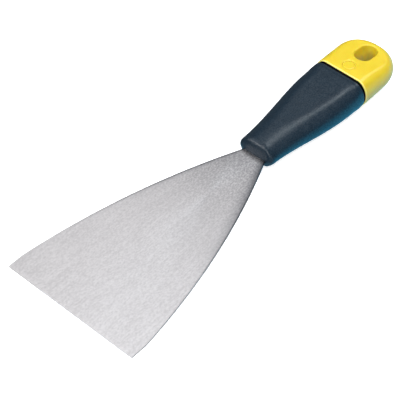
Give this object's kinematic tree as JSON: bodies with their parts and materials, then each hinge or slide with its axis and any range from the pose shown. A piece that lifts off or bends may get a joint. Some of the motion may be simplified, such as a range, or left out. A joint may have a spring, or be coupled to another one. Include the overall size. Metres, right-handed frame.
{
  "type": "drywall taping knife",
  "caption": "Flat drywall taping and filling knife: flared steel blade moulded into a hard core, soft two-tone grip, and a slot through the end for hanging.",
  "frame": {"origin": "centre of the tool's bounding box; z = 0 is the blade's mid-plane", "axes": "+X along the tool towards the cutting edge, +Y across the blade, +Z square to the blade's flat"},
  "size_m": [0.235, 0.08, 0.0182],
  "materials": {
    "ground_steel": "satin ground, fine grain along the tool",
    "yellow_core": "satin moulded",
    "dark_grip": "fine matt grain"
  },
  "bodies": {
    "root": {"blade": "ground_steel", "handle_core": "yellow_core", "grip_sleeve": "dark_grip"}
  },
  "joints": []
}
